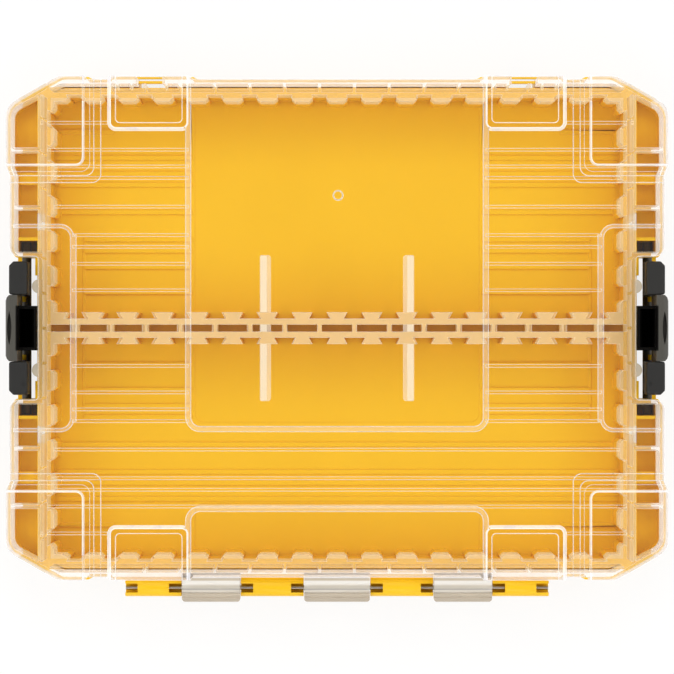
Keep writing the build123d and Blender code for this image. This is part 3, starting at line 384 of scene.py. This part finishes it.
def clear_plastic(name):
    """Clear moulded plastic: see-through on its flat faces, with haze and painted highlights and glow on its
    rounded edges, walls and rims.
    """
    material, tree, output = new_material(name)
    spot = add_node(tree, "ShaderNodeTexCoord")
    place = split(tree, spot.outputs["Object"])
    level = combine(tree, "ABSOLUTE", split(tree, spot.outputs["Normal"]).outputs["Z"])
    facing = add_node(tree, "ShaderNodeLayerWeight", {"Blend": 0.5}).outputs["Facing"]
    zones = lid_zones(tree, place, level)
    haze_glow_layer = add_node(tree, "ShaderNodeBsdfDiffuse")
    tree.links.new(haze_and_glow_tone(tree, place, zones), haze_glow_layer.inputs["Color"])
    through = add_node(tree, "ShaderNodeBsdfTransparent", {"Color": (*THROUGH_TONE, 1)})
    haze_glow_cover = haze_and_painted_glow(tree, place, level, facing, zones)
    body = mix(tree, haze_glow_cover, through.outputs["BSDF"], haze_glow_layer.outputs["BSDF"])
    gloss = add_node(tree, "ShaderNodeBsdfGlossy", {"Color": (1, 1, 1, 1), "Roughness": 0.06})
    glance = combine(tree, "POWER", facing, 5.0)
    mirrored = combine(tree, "MULTIPLY_ADD", glance, GLANCING_GLOSS, STRAIGHT_GLOSS)
    tree.links.new(mix(tree, mirrored, body, gloss.outputs["BSDF"]), output.inputs["Surface"])
    return material


def pale_floor(name):
    """Matt floor, white to the eye, with the shadow of the case on it."""
    material, tree, output = new_material(name)
    matt = add_node(tree, "ShaderNodeBsdfDiffuse", {"Color": (0.93, 0.93, 0.93, 1)})
    white = add_node(tree, "ShaderNodeEmission", {"Color": (1, 1, 1, 1), "Strength": 1.0})
    path = add_node(tree, "ShaderNodeLightPath")
    seen = path.outputs["Is Camera Ray"]
    for ray in ("Is Glossy Ray", "Is Transmission Ray"):
        seen = combine(tree, "MAXIMUM", seen, path.outputs[ray])
    glow = product(tree, seen, FLOOR_GLOW)
    both = mix(tree, glow, matt.outputs["BSDF"], white.outputs["Emission"])
    tree.links.new(both, output.inputs["Surface"])
    return material


def edge_widths(share, bands):
    """Node group that marks the sharp edges for a bevel, each with its share of the width."""
    group = bpy.data.node_groups.new("edge_widths", "GeometryNodeTree")
    group.interface.new_socket("Geometry", in_out="INPUT", socket_type="NodeSocketGeometry")
    group.interface.new_socket("Geometry", in_out="OUTPUT", socket_type="NodeSocketGeometry")
    angle = group.nodes.new("GeometryNodeInputMeshEdgeAngle").outputs["Unsigned Angle"]
    height = split(group, group.nodes.new("GeometryNodeInputPosition").outputs["Position"]).outputs["Z"]
    width = share
    for low, high in bands:
        above = combine(group, "GREATER_THAN", height, low * MM)
        inside = product(group, above, combine(group, "LESS_THAN", height, high * MM))
        width = combine(group, "MAXIMUM", inside, width)
    store = group.nodes.new("GeometryNodeStoreNamedAttribute")
    store.data_type = "FLOAT"
    store.domain = "EDGE"
    store.inputs["Name"].default_value = "bevel_weight_edge"
    sharp = combine(group, "GREATER_THAN", angle, SHARP_ANGLE)
    group.links.new(product(group, sharp, width), store.inputs["Value"])
    group.links.new(group.nodes.new("NodeGroupInput").outputs["Geometry"], store.inputs["Geometry"])
    group.links.new(store.outputs["Geometry"], group.nodes.new("NodeGroupOutput").inputs["Geometry"])
    return group


def soften(piece, width, share, bands):
    """Rounds a piece's edges with real bevels, of the full width only within some bands of height."""
    weld = piece.modifiers.new("weld", "WELD")
    weld.merge_threshold = 0.001 * MM
    flat = piece.modifiers.new("flat_faces", "DECIMATE")
    flat.decimate_type = "DISSOLVE"
    flat.angle_limit = math.radians(0.5)
    marks = piece.modifiers.new("edge_widths", "NODES")
    marks.node_group = edge_widths(share, bands)
    bevel = piece.modifiers.new("soft_edges", "BEVEL")
    bevel.width = width
    bevel.segments = 2
    bevel.limit_method = "WEIGHT"
    bevel.use_clamp_overlap = False
    bevel.harden_normals = True


def dress(piece, material):
    """Gives a piece one material."""
    piece.data.materials.clear()
    piece.data.materials.append(material)


def studio_floor():
    """A wide round floor, which is no part of the case."""
    bpy.ops.mesh.primitive_circle_add(vertices=96, radius=FLOOR_RADIUS, fill_type="NGON", location=(0, 0, 0))
    floor = bpy.context.object
    floor.name = "floor"
    dress(floor, pale_floor("pale_floor"))


def studio_world():
    """A world that is white at the horizon and dim overhead."""
    world = bpy.data.worlds.new("studio")
    bpy.context.scene.world = world
    world.use_nodes = True
    tree = world.node_tree
    tree.nodes.clear()
    up = split(tree, add_node(tree, "ShaderNodeTexCoord").outputs["Generated"]).outputs["Z"]
    background = add_node(tree, "ShaderNodeBackground", {"Color": (1, 1, 1, 1)})
    tree.links.new(spread(tree, up, HORIZON, OVERHEAD, 0.15, 0.75), background.inputs["Strength"])
    output = add_node(tree, "ShaderNodeOutputWorld")
    tree.links.new(background.outputs["Background"], output.inputs["Surface"])


def soft_box(index, watts):
    """One of the soft boxes that stand round the case and face it."""
    turn = math.radians(90 * index)
    data = bpy.data.lights.new(f"soft_box_{index}", "AREA")
    data.shape = "RECTANGLE"
    data.size, data.size_y = LAMP_SIZE
    data.energy = watts
    lamp = bpy.data.objects.new(data.name, data)
    bpy.context.scene.collection.objects.link(lamp)
    lamp.location = (
        LAMP_DISTANCE * math.cos(LAMP_RISE) * math.sin(turn),
        -LAMP_DISTANCE * math.cos(LAMP_RISE) * math.cos(turn),
        LAMP_DISTANCE * math.sin(LAMP_RISE),
    )
    lamp.rotation_euler = (math.radians(90) - LAMP_RISE, 0, turn)


def top_camera():
    """The photograph's camera, straight above the lid."""
    data = bpy.data.cameras.new("camera")
    data.sensor_width = SENSOR
    data.lens = SENSOR * (CAMERA_HEIGHT - VIEW_PLANE) / VIEW_WIDTH
    data.clip_end = 20.0
    camera = bpy.data.objects.new("camera", data)
    bpy.context.scene.collection.objects.link(camera)
    camera.location = (0, CAMERA_Y, CAMERA_HEIGHT)
    bpy.context.scene.camera = camera


# The pieces of the case
tray_yellow = moulded_plastic("tray_yellow", TRAY_TONES, 0.36, 2600.0, 0.03 * MM, specular=0.3)
# The levers carry painted shade in their deep pockets
lever_black = moulded_plastic("lever_black", LEVER_TONES, 0.5, 3500.0, 0.03 * MM, pocket=True)
pad_black = moulded_plastic("pad_black", PAD_TONES, 0.62, 4500.0, 0.04 * MM, specular=0.35)
dress(nodes["base_tray"], tray_yellow)
dress(nodes["lid"], clear_plastic("lid_clear"))
dress(nodes["hinge_pin"], drawn_steel("drawn_steel"))
for hand in ("left", "right"):
    dress(nodes[f"{hand}_latch_lever"], lever_black)
    for end in ("rear", "front"):
        dress(nodes[f"{hand}_latch_{end}_pad"], pad_black)
soften(nodes["base_tray"], TRAY_EDGE, TRAY_SHARE, TRAY_BANDS)
soften(nodes["lid"], LID_EDGE, LID_SHARE, LID_BANDS)

# The studio
studio_floor()
studio_world()
for index, watts in enumerate(LAMP_WATTS):
    soft_box(index, watts)
top_camera()

# Plain view, with enough bounces for light to cross all the clear walls
scene = bpy.context.scene
scene.view_settings.view_transform = "Standard"
scene.cycles.max_bounces = 8
scene.cycles.transparent_max_bounces = 64
